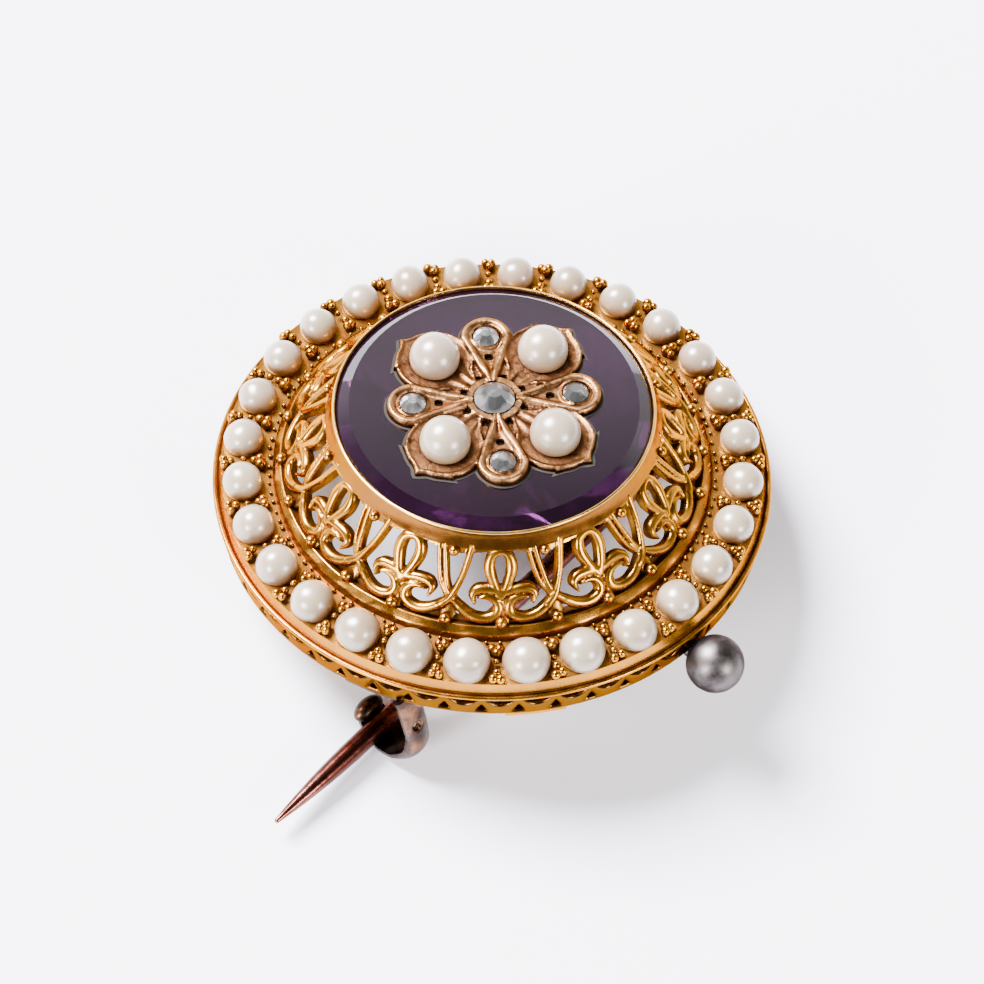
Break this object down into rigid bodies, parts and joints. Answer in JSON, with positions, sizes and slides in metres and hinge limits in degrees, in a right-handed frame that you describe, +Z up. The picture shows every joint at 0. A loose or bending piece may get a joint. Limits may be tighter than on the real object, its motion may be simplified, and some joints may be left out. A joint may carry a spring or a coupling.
{
  "type": "flower brooch",
  "caption": "Round pierced gold brooch with a pearl border, a large amethyst and an inlaid flower of pearls and small cut stones, with its pin closed.",
  "frame": {"origin": "bottom centre of the whole brooch's bounding box as it lies face up on a table", "axes": "+X along the pin towards its point, +Y towards the ball at the top of the brooch, +Z up from the table"},
  "size_m": [0.039, 0.035, 0.0141],
  "materials": {
    "gold": "polished, worn",
    "rose_gold": "satin, worn",
    "amethyst": "polished",
    "pearl": "pearl lustre",
    "clear_stone": "polished",
    "dark_metal": "tarnished",
    "copper_pin": "tarnished, smooth",
    "silver": "polished, worn"
  },
  "bodies": {
    "brooch": {"amethyst": "amethyst", "ball_knob": "silver", "border_pearl_01": "pearl", "border_pearl_02": "pearl", "border_pearl_03": "pearl", "border_pearl_04": "pearl", "border_pearl_05": "pearl", "border_pearl_06": "pearl", "border_pearl_07": "pearl", "border_pearl_08": "pearl", "border_pearl_09": "pearl", "border_pearl_10": "pearl", "border_pearl_11": "pearl", "border_pearl_12": "pearl", "border_pearl_13": "pearl", "border_pearl_14": "pearl", "border_pearl_15": "pearl", "border_pearl_16": "pearl", "border_pearl_17": "pearl", "border_pearl_18": "pearl", "border_pearl_19": "pearl", "border_pearl_20": "pearl", "border_pearl_21": "pearl", "border_pearl_22": "pearl", "border_pearl_23": "pearl", "border_pearl_24": "pearl", "border_pearl_25": "pearl", "border_pearl_26": "pearl", "border_pearl_27": "pearl", "border_pearl_28": "pearl", "centre_diamond": "clear_stone", "flower_mount": "rose_gold", "gold_frame": "gold", "hinge": "dark_metal", "hinge_rivet": "dark_metal", "hook": "dark_metal", "petal_diamond_1": "clear_stone", "petal_diamond_2": "clear_stone", "petal_diamond_3": "clear_stone", "petal_diamond_4": "clear_stone", "petal_pearl_1": "pearl", "petal_pearl_2": "pearl", "petal_pearl_3": "pearl", "petal_pearl_4": "pearl"},
    "pin": {"pin": "copper_pin"}
  },
  "joints": [
    {"name": "pin_hinge", "type": "hinge", "parent": "brooch", "child": "pin", "pos_m": [-0.01665, 0.00376, 0.00118], "axis": [0, -0.9808, -0.1948], "range_deg": [0, 6.5]}
  ]
}
